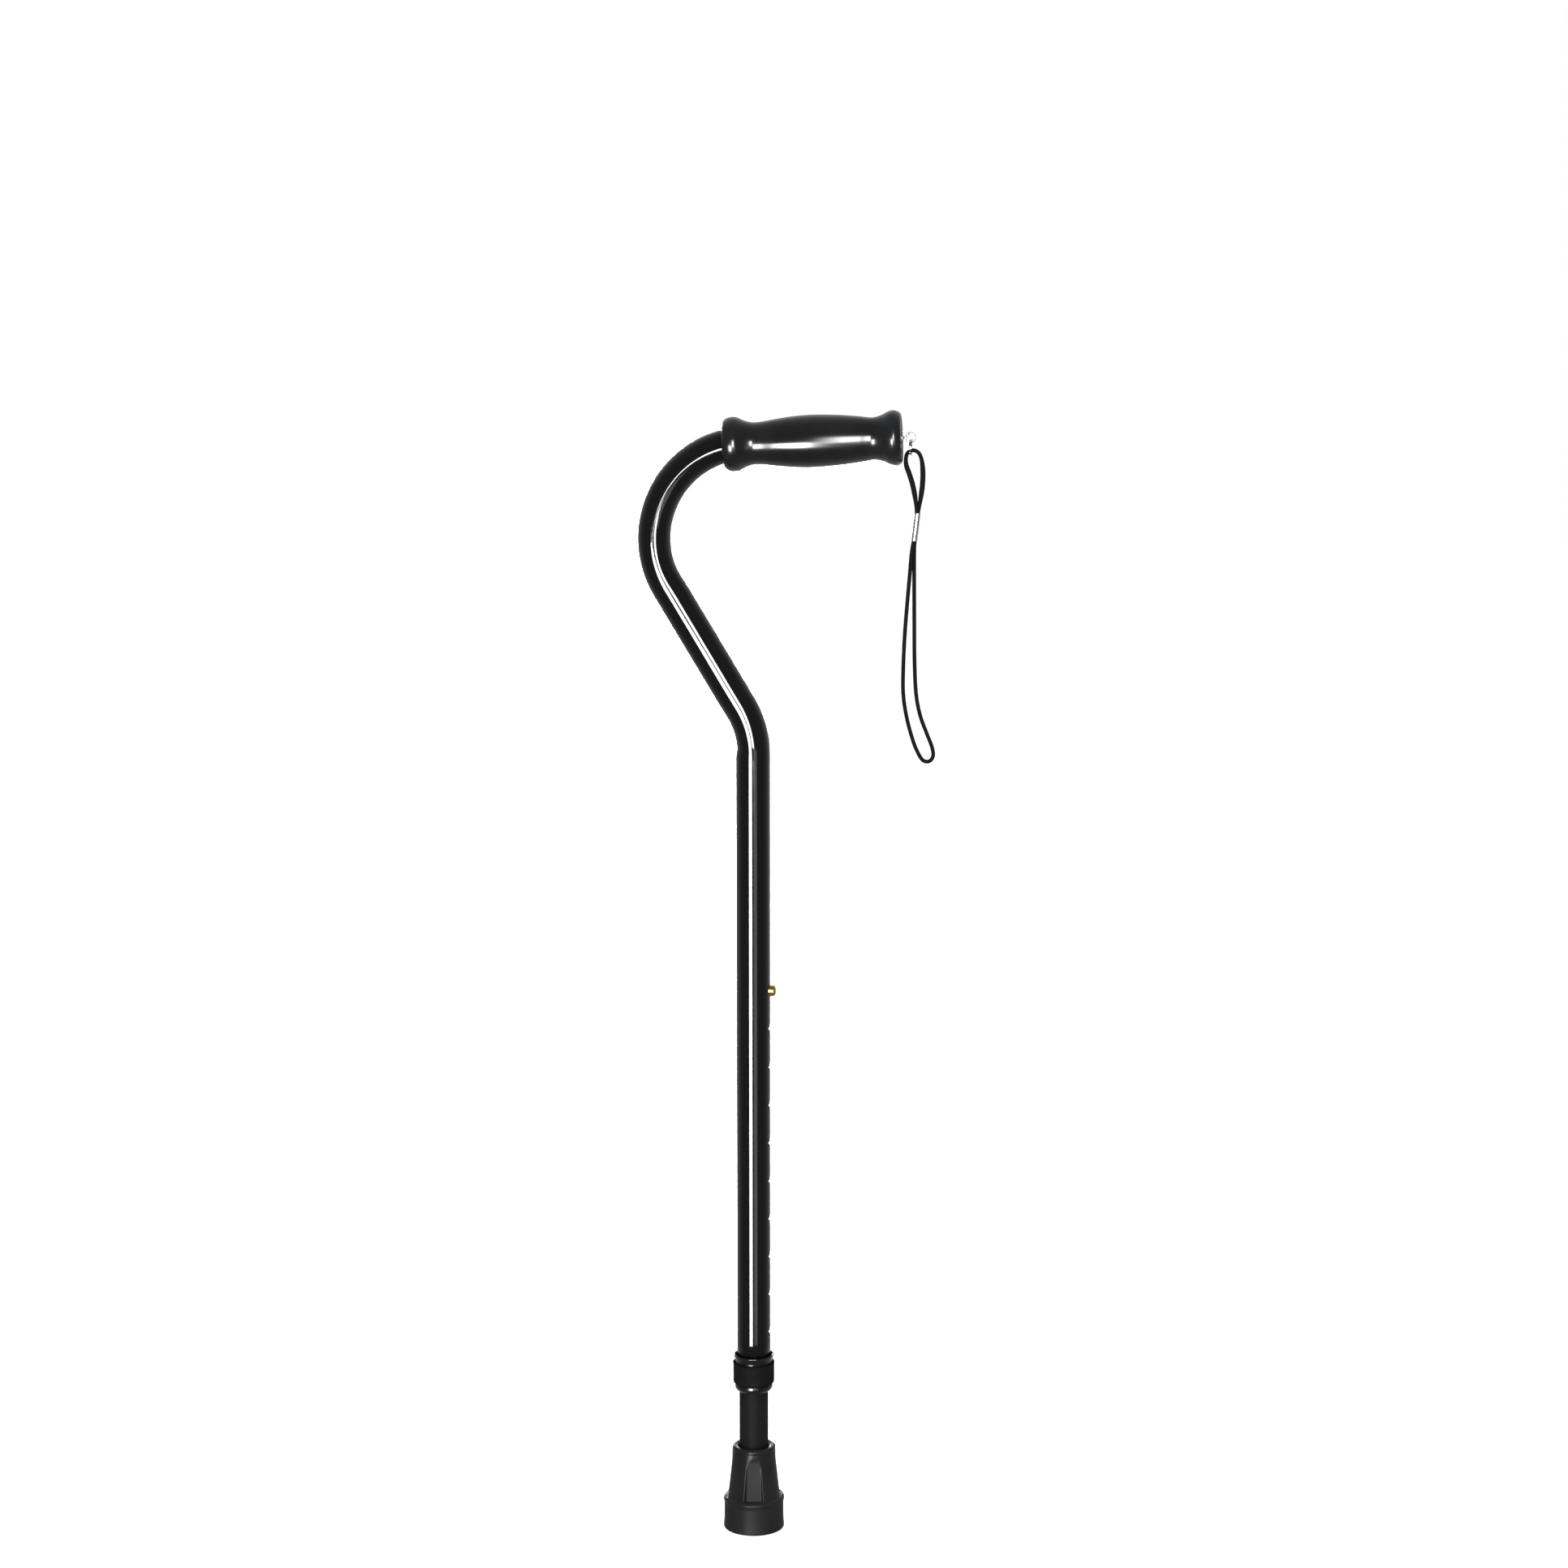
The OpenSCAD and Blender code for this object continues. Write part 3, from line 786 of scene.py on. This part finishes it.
def grip_outside(start, angles):
    """Rings of the turned outside, with the seam standing off its side."""
    side = smooth(MM * np.array(GRIP_SIDE), 6)
    rings = turned(np.concatenate([side, MM * np.array(GRIP_END)]), start, HANDLE, angles)
    seam = SEAM_HEIGHT * np.exp(-(np.sin(angles) / SEAM_WIDTH) ** 2)
    axis = start + side[:, 1, None] * HANDLE
    away = rings[:len(side)] - axis[:, None, :]
    away /= np.linalg.norm(away, axis=2)[..., None]
    rings[:len(side)] += away * seam[None, :, None]
    return rings


def grip_inside(start, angles):
    """Rings from the bore's closed end to the mouth, round the tube."""
    def around_tube(s, gap):
        place, _, side = tube_axes(s)
        spokes = np.outer(np.cos(angles), side) + np.outer(np.sin(angles), SIDEWAYS)
        return place + (TUBE_R + gap) * spokes

    def at_mouth(gap, depth):
        """A ring moved along the tube, into a plane square to the grip's axis."""
        ring = around_tube(MOUTH_S, gap)
        ahead = tube_axes(MOUTH_S)[1]
        short = (depth - (ring - start) @ HANDLE) / ahead.dot(HANDLE)
        return ring + short[:, None] * ahead

    bore = [around_tube(s, BORE_GAP) for s in np.linspace(S_END, MOUTH_S + 4 * MM, 24)]
    lip = [at_mouth(0.12 * MM, 1.0 * MM), at_mouth(0.3 * MM, 0.35 * MM), at_mouth(1.0 * MM, 0)]
    cap = np.repeat(np.mean(bore[0], axis=0)[None, None], len(angles), axis=1)
    return np.concatenate([cap, bore, lip])


def make_grip():
    """The moulded grip: its turned outside, and a mouth and bore that follow the tube."""
    low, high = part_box("handle_grip")
    start = np.array((low + high) / 2) - HANDLE * GRIP_LENGTH / 2
    angles = grip_angles()
    rings = np.concatenate([grip_inside(start, angles), grip_outside(start, angles)])
    ring_piece("grip_moulding", rings, grip_vinyl(), "shaft", ["handle_grip"])


make_grip()


# -------------------------------- eye screw, washer, split ring
WIRE_R = 0.7 * MM
LOOP_R = 2.6 * MM
WIRE_SIDES = 36
STEM_LENGTH, STEM_R = 22 * MM, 1.32 * MM
THREAD_PITCH, THREAD_DEPTH = 1.25 * MM, 0.16 * MM
STEM_POINT = 3 * MM
eye_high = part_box("eye_screw")[1]
EYE = np.array([eye_high.x - LOOP_R - WIRE_R, 0, eye_high.z - LOOP_R - WIRE_R])


def screw_stem(angles):
    """Rings of the stem: a point, a thread, and a neck as thick as the loop's wire."""
    heights = np.linspace(0, STEM_LENGTH + 0.4 * MM, 240)
    phase = heights[:, None] / THREAD_PITCH - angles[None, :] / (2 * math.pi)
    crest = np.abs((phase % 1) * 2 - 1)
    point = ease(heights / STEM_POINT)
    threaded = ease((STEM_LENGTH - 5 * MM - heights) / (1 * MM)) * point
    neck = STEM_R + (WIRE_R - STEM_R) * ease((heights - STEM_LENGTH + 4 * MM) / (3.5 * MM))
    radii = neck[:, None] + (THREAD_DEPTH * (1 - 2 * crest)) * threaded[:, None]
    radii *= (0.35 + 0.65 * point)[:, None]
    path = EYE - HANDLE * (LOOP_R + STEM_LENGTH) + heights[:, None] * HANDLE
    return capped(swept(path, radii, angles, SIDEWAYS))


def screw_loop(angles):
    """Rings of the loop, from the neck nearly all the way round."""
    count = 110
    turns = np.radians(183 + np.linspace(0, 338, count))
    path = EYE + LOOP_R * np.stack([np.cos(turns), 0 * turns, np.sin(turns)], 1)
    from_end = np.minimum(np.arange(count), np.arange(count)[::-1])
    thin = WIRE_R * (0.75 + 0.25 * ease(from_end / 5))
    return capped(swept(path, np.repeat(thin[:, None], WIRE_SIDES, 1), angles, SIDEWAYS))


def make_eye_screw():
    """A threaded stem, and a loop of wire that closes back onto it."""
    angles = circle_angles(WIRE_SIDES)
    points, faces, used = [], [], 0
    for rings in (screw_stem(angles), screw_loop(angles)):
        index = np.arange(len(rings) * WIRE_SIDES).reshape(-1, WIRE_SIDES) + used
        points.append(rings.reshape(-1, 3))
        faces.append(ring_quads(index))
        used += index.size
    build("eye_screw_wire", np.concatenate(points), np.concatenate(faces), STEEL,
          "shaft", ["eye_screw"])


def make_eye_washer():
    """A dished washer with rounded edges."""
    low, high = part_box("eye_washer")
    middle = np.array((low + high) / 2)
    outline = MM * np.array([
        (1.75, -0.1), (3.4, -0.25), (4.5, -0.4), (4.6, -0.15), (4.5, 0.1), (3.4, 0.28),
        (1.75, 0.4),
    ])
    rings = turned(rounded(outline, 0.12 * MM, closed=True), middle, HANDLE, circle_angles(72))
    ring_piece("eye_washer_dished", rings, STEEL, "shaft", ["eye_washer"],
               wrap=True)


def make_split_ring():
    """Two turns of wire, side by side, that cross over where one turn leads to the next."""
    low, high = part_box("split_ring")
    middle = np.array((low + high) / 2)
    wire = (high.x - low.x) / 4
    ring_r = (high.z - low.z) / 2 - wire
    first, last, crossing = 0.02, 1.98, 0.24
    turns = np.linspace(first, last, 300)
    angle = 2 * math.pi * turns + math.radians(205)
    shift = wire * (2 * ease((turns - 1 + crossing / 2) / crossing) - 1)
    path = middle + np.stack([shift, ring_r * np.cos(angle), ring_r * np.sin(angle)], 1)
    from_end = np.minimum(turns - first, last - turns)
    thickness = wire * 0.97 * (0.55 + 0.45 * ease(from_end / 0.02))
    angles = circle_angles(24)
    rings = swept(path, np.repeat(thickness[:, None], len(angles), 1), angles, (1, 0, 0))
    ring_piece("split_ring_coil", capped(rings), STEEL, "ring", ["split_ring"])


make_eye_screw()
make_eye_washer()
make_split_ring()


# -------------------------------- locking nut and its band
NUT_SIDES = 160


def make_nut():
    """The locking nut: chamfered foot, groove under the band, neck and cup-shaped lip."""
    low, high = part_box("locking_nut")
    lower_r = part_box("lower_tube")[1].y
    lip = high.y
    body = lip - 0.75 * MM
    height = high.z - low.z
    passage = lower_r + 0.3 * MM
    throat, throat_foot = TUBE_R + 0.15 * MM, height - 4.9 * MM
    bore = TUBE_R + 0.65 * MM
    shoulder = 3.2 * MM
    outline = [
        (passage, 0.3 * MM), (lower_r + 0.7 * MM, 0), (body - 1.5 * MM, 0),
        (body - 0.35 * MM, 1.3 * MM), (body, 2.3 * MM), (body, 4.35 * MM),
        (body - 0.45 * MM, 4.6 * MM), (body - 0.45 * MM, 5.6 * MM), (body - 0.25 * MM, 18 * MM),
        (body - 0.2 * MM, height - 3.8 * MM), (body + 0.1 * MM, height - 2.4 * MM),
        (lip - 0.15 * MM, height - 1.2 * MM), (lip, height - 0.5 * MM),
        (lip - 0.3 * MM, height), (lip - 0.85 * MM, height - 0.1 * MM),
        (lip - 1.3 * MM, height - 1.4 * MM), (throat + 0.05 * MM, height - 2.3 * MM),
        (throat, height - 2.7 * MM), (throat, throat_foot), (bore, throat_foot),
        (bore, shoulder), (passage, shoulder),
    ]
    outline = rounded(outline, 0.3 * MM, closed=True)
    rings = turned(outline, (0, 0, low.z), UP, circle_angles(NUT_SIDES))
    ring_piece("locking_nut_moulding", rings, nut_plastic(), "nut",
               ["locking_nut"], wrap=True)


def make_band():
    """The soft band: rounded below, and with a thin rim above that stands off the neck."""
    low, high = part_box("nut_grip_band")
    r = high.y
    wall = r - 0.25 * MM
    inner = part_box("locking_nut")[1].y - 0.95 * MM
    height = high.z - low.z
    outline = [
        (inner, 0.1 * MM), (inner + 0.7 * MM, 0), (r - 1.35 * MM, 0), (r - 0.6 * MM, 0.3 * MM),
        (r - 0.3 * MM, 1.0 * MM), (wall, 2.0 * MM), (wall, height - 1.6 * MM),
        (r, height - 0.2 * MM), (r - 0.12 * MM, height), (r - 0.4 * MM, height - 0.1 * MM),
        (r - 0.75 * MM, height - 1.1 * MM), (inner, height - 1.35 * MM),
    ]
    outline = rounded(outline, 0.35 * MM, closed=True)
    rings = turned(outline, (0, 0, low.z), UP, circle_angles(NUT_SIDES))
    ring_piece("nut_band_soft", rings, band_rubber(), "nut",
               ["nut_grip_band"], wrap=True)


make_nut()
make_band()


# -------------------------------- snap button and its spring
def make_button():
    """A brass button: flange inside the tube, shank, and a dome with a slightly flat tip."""
    length = button_high.x - button_low.x
    flange_r, flange = 4.5 * MM, 0.95 * MM
    r, tip_r = 3.75 * MM, 0.35 * MM
    dome = 2.0 * MM
    shank = length - dome
    turns = np.radians(np.linspace(0, 90, 14))
    crown = [(tip_r + (r - tip_r) * math.cos(t), shank + dome * math.sin(t)) for t in turns]
    foot = [(0, 0), (flange_r, 0), (flange_r, flange), (r, flange), (r, shank)]
    outline = np.concatenate([rounded(foot, 0.2 * MM), crown, [(0, length)]])
    rings = turned(outline, (button_low.x, 0, BUTTON_Z), (1, 0, 0), circle_angles(64))
    ring_piece("snap_button_dome", rings, button_brass(), "button",
               ["snap_button"])


def make_spring():
    """A leaf bent back on itself, built as one fixed piece that rides on no body. On the cane its
    near side moves in with the button and its far side stays.
    """
    low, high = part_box("snap_spring")
    thick, half_w, roll = 0.5 * MM, high.y, 0.16 * MM
    bend_r = (high.x - low.x - thick) / 2
    bend = np.array([(low.x + high.x) / 2, low.z + bend_r + thick / 2])
    turns = np.radians(np.linspace(0, -180, 40))
    arc = bend + bend_r * np.stack([np.cos(turns), np.sin(turns)], 1)
    top = high.z - 0.2 * MM
    heights = np.linspace(top, bend[1] + 1 * MM, 24)
    near = [(arc[0, 0], z) for z in heights]
    far = [(arc[-1, 0], z) for z in heights[::-1]]
    line = np.concatenate([near, arc, far])
    path = np.stack([line[:, 0], 0 * line[:, 0], line[:, 1]], 1)
    corners = ((-1, -1), (1, -1), (1, 1), (-1, 1))
    section = rounded([(a * half_w, b * thick / 2) for a, b in corners], roll, closed=True)
    outward = np.cross(headings(path), SIDEWAYS)
    rings = (path[:, None, :] + section[None, :, 0, None] * SIDEWAYS
             + section[None, :, 1, None] * outward[:, None, :])
    leaf = ring_piece("snap_spring_leaf", capped(rings), spring_steel(), None,
                      ["snap_spring"])
    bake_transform(leaf)


make_button()
make_spring()


# -------------------------------- foot
FLUTES = 4
FLUTE_TURN = math.radians(-85)
FLUTE_FOOT, FLUTE_HEIGHT, FLUTE_FADE = 21.6 * MM, 31 * MM, 5 * MM
FLUTE_LEAN = math.radians(2.2)
# From the foot's axis to the flute's flat floor, at the flute's lower end
FLUTE_REACH = 15.3 * MM
FLUTE_WIDE, FLUTE_NARROW = 12.4 * MM, 8.5 * MM
FOOT_SIDES = 360
NECK_R = 14 * MM
LIP_Z, SHELF_Z = 20.3 * MM, 22.7 * MM
FLOOR_Z = 12 * MM


def sole_outline(base):
    """From the sole's middle outwards: three ribs with grooves between them."""
    groove, slope, rib = 1.1 * MM, 0.35 * MM, 2.6 * MM
    found = [(0, groove)]
    for inner in (4.2 * MM, 9.2 * MM, 14.2 * MM):
        start = inner + slope
        found += [(inner, groove), (start, 0), (start + rib - slope, 0), (start + rib, groove)]
    return rounded(found[:-2] + [(base - 0.5 * MM, 0)], 0.2 * MM)


def side_outline(base, cone_r):
    """From the sole's edge up the base, over its lip and onto the cone."""
    return smooth([
        (base - 0.5 * MM, 0), (base + 0.1 * MM, 0.3 * MM), (base + 0.35 * MM, 1.2 * MM),
        (base + 0.1 * MM, 4.5 * MM), (base, 9 * MM), (base, 14 * MM), (base + 0.05 * MM, 17.2 * MM),
        (base + 0.38 * MM, LIP_Z - 1.3 * MM), (base + 0.42 * MM, LIP_Z - 0.1 * MM),
        (base + 0.05 * MM, LIP_Z + 0.75 * MM), (cone_r + 0.9 * MM, LIP_Z + 1.15 * MM),
        (cone_r + 0.25 * MM, LIP_Z + 1.5 * MM), (cone_r - 0.05 * MM, SHELF_Z),
    ], 4)


def rim_outline(top, bore):
    """From the cone's top over the rolled mouth and into the bore."""
    return smooth([
        (NECK_R + 0.25 * MM, top - 3 * MM), (NECK_R + 0.3 * MM, top - 1.6 * MM),
        (NECK_R + 0.1 * MM, top - 0.7 * MM), (NECK_R - 0.6 * MM, top - 0.1 * MM),
        (NECK_R - 1.6 * MM, top), (bore + 1.4 * MM, top - 0.15 * MM),
        (bore + 0.5 * MM, top - 0.9 * MM), (bore, top - 2.4 * MM),
    ], 4)


def flute_radius(r, z, angles):
    """The cone's radius at each angle, cut back to the flat floor of each flute."""
    rise = z - FLUTE_FOOT
    reach = FLUTE_REACH - rise * math.tan(FLUTE_LEAN)
    width = FLUTE_WIDE + (FLUTE_NARROW - FLUTE_WIDE) * rise / FLUTE_HEIGHT
    faded = ease((rise - FLUTE_HEIGHT + FLUTE_FADE) / FLUTE_FADE)
    deep = ease((rise + 0.5 * MM) / (1.1 * MM)) * (1 - faded)
    found = np.full(len(angles), r)
    for k in range(FLUTES):
        off = angles - FLUTE_TURN - k * 2 * math.pi / FLUTES
        off = (off + math.pi) % (2 * math.pi) - math.pi
        inside = ease((width / 2 + 0.35 * MM - np.abs(r * np.sin(off))) / (0.8 * MM))
        inside = np.where(np.abs(off) < math.pi / 3, inside, 0)
        cut = np.maximum(r - reach / np.cos(np.clip(off, -1, 1)), 0)
        found -= cut * inside * deep
    return found


def make_foot():
    """The rubber foot: grooved sole, base, rounded lip, fluted cone and rolled mouth."""
    low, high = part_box("ferrule")
    base = high.y - 0.5 * MM
    cone_r = base - 1.6 * MM
    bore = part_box("lower_tube")[1].y + 0.04 * MM
    sole = sole_outline(base)
    side = side_outline(base, cone_r)
    rim = rim_outline(high.z, bore)
    share = np.linspace(0.03, 1, 90)[1:, None]
    cone = side[-1] + (rim[0] - side[-1]) * share
    inside = [(bore, FLOOR_Z + 1 * MM), (bore, FLOOR_Z), (0, FLOOR_Z)]
    outline = np.concatenate([sole, side[1:], cone, rim[1:], inside])
    angles = circle_angles(FOOT_SIDES)
    rings = turned(outline, (0, 0, low.z), UP, angles)
    for k in range(len(sole), len(sole) + len(side) - 1 + len(cone)):
        r, z = outline[k]
        rings[k, :, :2] *= (flute_radius(r, z, angles) / r)[:, None]
    ring_piece("foot_moulding", rings, foot_rubber(), "leg", ["ferrule"])


make_foot()


# -------------------------------- pieces kept from the CAD model
def repaint(node, material):
    """Gives a CAD piece that stays as it is its material."""
    data = frame["nodes"][node].data
    data.materials.clear()
    data.materials.append(material)


nylon = plug_plastic()
repaint("grip_end_plug", nylon)
repaint("guide_bushing", nylon)
repaint("foot_washer", spring_steel())


# -------------------------------- studio
STUDIO_RADIUS = 6.0
# What gloss mirrors of the studio, from behind the camera (0) to behind the cane (1)
MIRRORED = [
    (0.0, 0.09), (0.42, 0.1), (0.6, 0.27), (0.82, 0.52), (0.94, 0.85), (0.985, 0.2), (1.0, 0.15),
]
# Each light's azimuths from the camera's, in degrees, then its heights and its radiance
LIGHTS = {
    "key": ((-26, -7), (-2.1, 0.3), 34),
    "upper_right": ((-1.5, 11), (-0.17, 2.4), 28),
    "dim_right": ((4.3, 26), (-1.9, -0.17), 1.3),
    "rear": ((175, 199), (-1.9, 1.0), 22),
}
FLOOR_HALF = 12.0
FLOOR_GLOW = 0.14


def world_light():
    """A studio that is plain white, except where gloss mirrors it."""
    world = bpy.data.worlds.new("studio")
    bpy.context.scene.world = world
    world.use_nodes = True
    tree = world.node_tree
    tree.nodes.clear()
    new, link = tree.nodes.new, tree.links.new
    place = new("ShaderNodeTexCoord")
    behind = new("ShaderNodeVectorMath")
    behind.operation = "DOT_PRODUCT"
    behind.inputs[1].default_value = -direction(CAMERA_AZIMUTH)
    link(place.outputs["Generated"], behind.inputs[0])
    share = new("ShaderNodeMapRange")
    share.inputs["From Min"].default_value = -1
    link(behind.outputs["Value"], share.inputs["Value"])
    ramp = new("ShaderNodeValToRGB")
    link(share.outputs[0], ramp.inputs[0])
    while len(ramp.color_ramp.elements) < len(MIRRORED):
        ramp.color_ramp.elements.new(0.5)
    for element, (at, value) in zip(ramp.color_ramp.elements, MIRRORED):
        element.position = at
        element.color = (value, value, value, 1)
    rays = new("ShaderNodeLightPath")
    mirrored = new("ShaderNodeBackground")
    link(ramp.outputs[0], mirrored.inputs["Color"])
    plain = new("ShaderNodeBackground")
    plain.inputs["Color"].default_value = (1, 1, 1, 1)
    pick = new("ShaderNodeMixShader")
    link(rays.outputs["Is Glossy Ray"], pick.inputs[0])
    link(plain.outputs[0], pick.inputs[1])
    link(mirrored.outputs[0], pick.inputs[2])
    link(pick.outputs[0], new("ShaderNodeOutputWorld").inputs[0])


def area_lamp(name, energy, place, facing):
    """A flat light that the camera doesn't see, facing against a direction."""
    data = bpy.data.lights.new(name, "AREA")
    data.energy = energy
    lamp = bpy.data.objects.new(name, data)
    lamp.location = place
    lamp.rotation_euler = facing.to_track_quat("Z", "Y").to_euler()
    lamp.visible_camera = False
    bpy.context.scene.collection.objects.link(lamp)
    return lamp


def softbox(name, azimuths, heights, radiance):
    """A light that faces the cane's axis, and shows only in shine."""
    outward = direction(CAMERA_AZIMUTH + math.radians(sum(azimuths) / 2))
    place = outward * STUDIO_RADIUS + Vector((0, 0, sum(heights) / 2))
    width = 2 * STUDIO_RADIUS * math.tan(math.radians(azimuths[1] - azimuths[0]) / 2)
    height = heights[1] - heights[0]
    lamp = area_lamp(name, 4 * width * height * radiance, place, outward)
    lamp.data.shape = "RECTANGLE"
    lamp.data.size, lamp.data.size_y = width, height
    lamp.visible_diffuse = False


def overhead_lamp():
    """Soft light from above, which only matt surfaces and the floor take."""
    lamp = area_lamp("overhead", 130, (0, -0.6, 3.0), Vector((0, -0.2, 1)))
    lamp.data.size = 3.0
    lamp.visible_glossy = False


def make_floor():
    """A plain white floor, which the gloss of the cane doesn't mirror."""
    mesh = bpy.data.meshes.new("floor")
    corners = ((-1, -1), (1, -1), (1, 1), (-1, 1))
    mesh.from_pydata([(x * FLOOR_HALF, y * FLOOR_HALF, 0) for x, y in corners],
                     [], [(0, 1, 2, 3)])
    floor = bpy.data.objects.new("floor", mesh)
    paint = Paint("floor_white", (0.9, 0.9, 0.9), 1.0, specular=0.0)
    paint.set("Emission Color", (1, 1, 1))
    paint.set("Emission Strength", FLOOR_GLOW)
    mesh.materials.append(paint.material)
    bpy.context.scene.collection.objects.link(floor)
    floor.visible_glossy = False
    floor.visible_shadow = False


bpy.context.scene.view_settings.view_transform = "Standard"
world_light()
for name, (azimuths, heights, radiance) in LIGHTS.items():
    softbox(name, azimuths, heights, radiance)
make_floor()
overhead_lamp()
